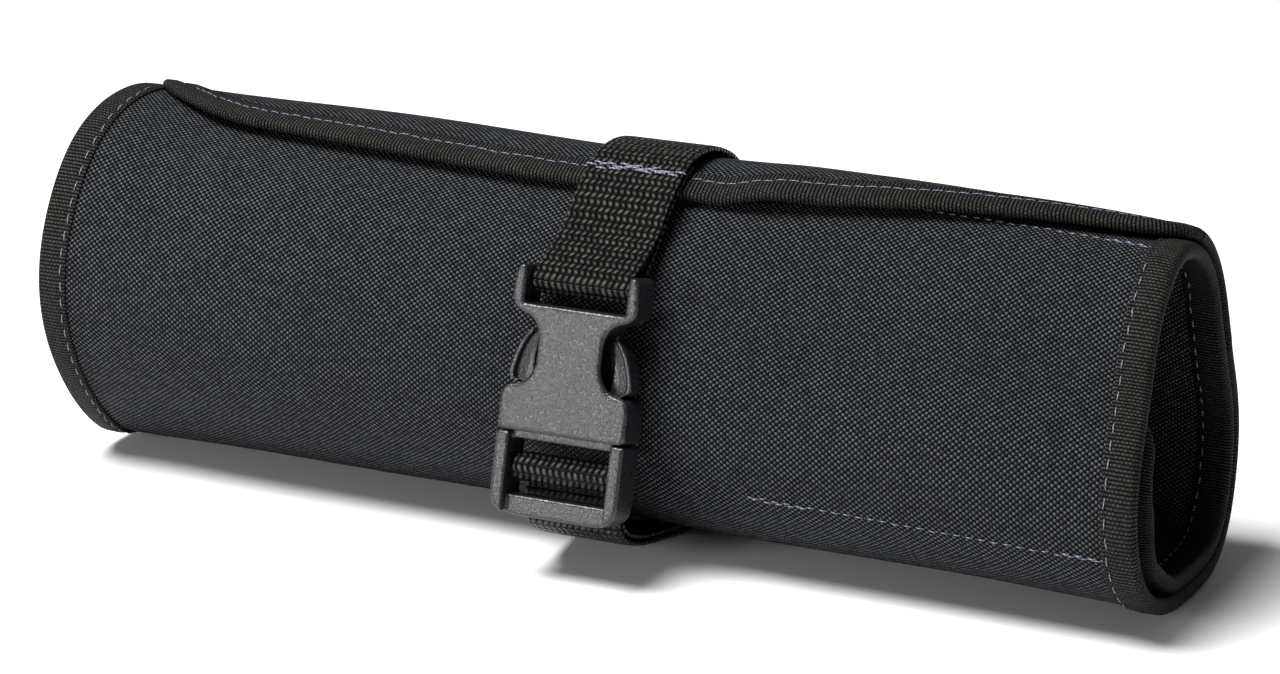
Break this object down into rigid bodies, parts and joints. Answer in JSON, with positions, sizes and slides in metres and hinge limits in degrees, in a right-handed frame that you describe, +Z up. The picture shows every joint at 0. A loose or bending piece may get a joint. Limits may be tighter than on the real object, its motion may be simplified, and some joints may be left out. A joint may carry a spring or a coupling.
{
  "type": "carving tool roll",
  "caption": "Rolled canvas tool roll with tape-bound edges and a webbing strap closed by a side-release buckle; open at both ends.",
  "frame": {"origin": "centre of the footprint, on the surface the roll lies on", "axes": "+X along the roll towards the end that shows the pockets' bound edge, -Y towards the buckle, +Z up"},
  "size_m": [0.2896, 0.1025, 0.0969],
  "materials": {
    "shell_canvas": "plain-woven coated polyester canvas, blue-black, about 0.8 mm thread pitch",
    "pocket_canvas": "plain-woven polyester, blue-black, a little darker than the shell",
    "binding_tape": "cross-ribbed woven tape, brown-black",
    "sewing_thread": "twisted polyester thread, pale grey-lilac",
    "strap_webbing": "coarse chevron-woven webbing, brown-black, slight sheen",
    "buckle_plastic": "finely textured moulded acetal, charcoal, satin"
  },
  "bodies": {
    "root": {"main_panel_outer_turn": "shell_canvas", "main_panel_inner_turn": "shell_canvas", "pocket_panel": "pocket_canvas", "pocket_mouth_binding": "binding_tape", "left_end_binding": "binding_tape", "right_end_binding": "binding_tape", "flap_edge_binding": "binding_tape", "inner_edge_binding": "binding_tape", "pocket_divider_seam_1": "sewing_thread", "pocket_divider_seam_2": "sewing_thread", "pocket_divider_seam_3": "sewing_thread", "pocket_divider_seam_4": "sewing_thread", "pocket_divider_seam_5": "sewing_thread", "left_binding_stitching": "sewing_thread", "right_binding_stitching": "sewing_thread", "flap_stitching_left_run": "sewing_thread", "flap_stitching_right_run": "sewing_thread", "strap_seam_stitching": "sewing_thread", "strap_long_run": "strap_webbing", "strap_adjuster_tail": "strap_webbing", "buckle_ladder": "buckle_plastic"},
    "socket": {"buckle_socket": "buckle_plastic", "strap_front_fold": "strap_webbing"},
    "prong_left": {"prong_left": "buckle_plastic"},
    "prong_right": {"prong_right": "buckle_plastic"}
  },
  "joints": [
    {"name": "buckle_release", "type": "slide", "parent": "root", "child": "socket", "axis": [0, 0.2588, 0.9659], "range_m": [0, 0.027], "deforming": ["prong_left", "prong_right", "strap_front_fold"]},
    {"name": "prong_left_squeeze", "type": "hinge", "parent": "root", "child": "prong_left", "pos_m": [-0.0015, -0.03979, 0.04203], "axis": [0, 0.9659, -0.2588], "range_deg": [0, 17], "stiffness_Nm_per_rad": 0.05},
    {"name": "prong_right_squeeze", "type": "hinge", "parent": "root", "child": "prong_right", "pos_m": [0.0185, -0.03979, 0.04203], "axis": [0, -0.9659, 0.2588], "range_deg": [0, 17], "stiffness_Nm_per_rad": 0.05}
  ]
}
